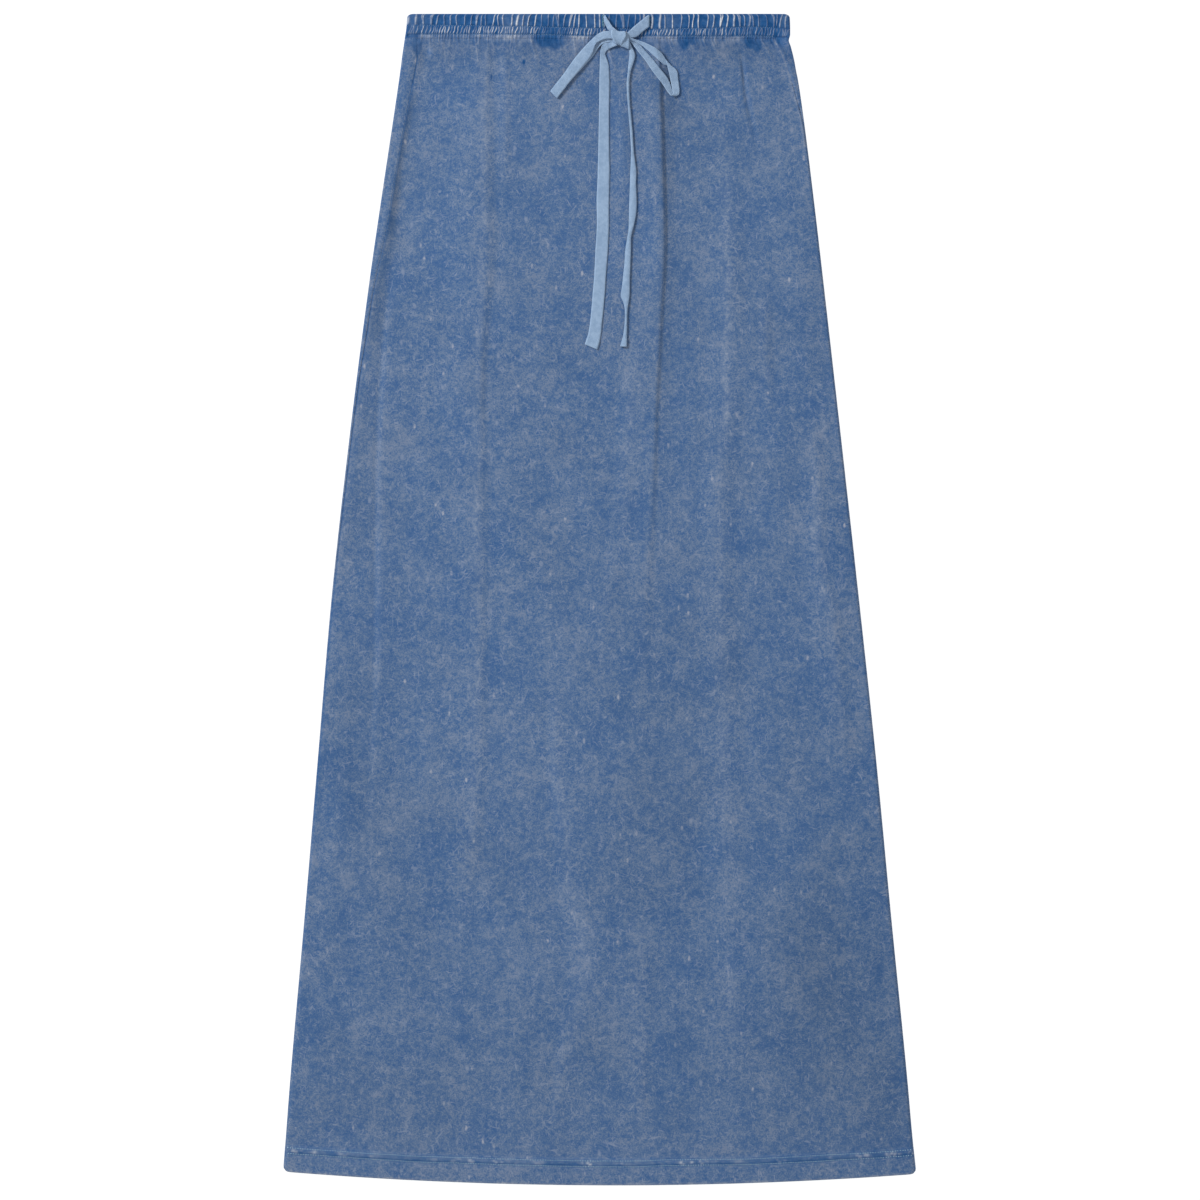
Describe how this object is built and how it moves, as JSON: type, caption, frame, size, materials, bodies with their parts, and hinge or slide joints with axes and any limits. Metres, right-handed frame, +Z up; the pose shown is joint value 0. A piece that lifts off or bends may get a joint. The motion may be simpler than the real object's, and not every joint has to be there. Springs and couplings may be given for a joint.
{
  "type": "denim maxi skirt",
  "caption": "Flared ankle-length skirt in washed blue denim, laid flat, with a gathered elastic waistband and a flat drawstring tied in a bow.",
  "frame": {"origin": "middle of the skirt's footprint, on the surface it lies on", "axes": "+Z up out of the front, +Y from the hem to the waist, +X to the right as the front is seen from above"},
  "size_m": [0.5679, 1.0545, 0.0155],
  "materials": {
    "denim": "washed, mottled blue denim, matt",
    "tape": "pale blue woven cotton tape, matt"
  },
  "bodies": {
    "root": {"front_panel": "denim", "back_panel": "denim", "waistband_front": "denim", "waistband_back": "denim", "drawstring_exit_left": "tape", "drawstring_exit_right": "tape", "bow_knot": "tape", "bow_loop_left": "tape", "bow_loop_right": "tape", "drawstring_tail_left": "tape", "drawstring_tail_right": "tape"}
  },
  "joints": []
}
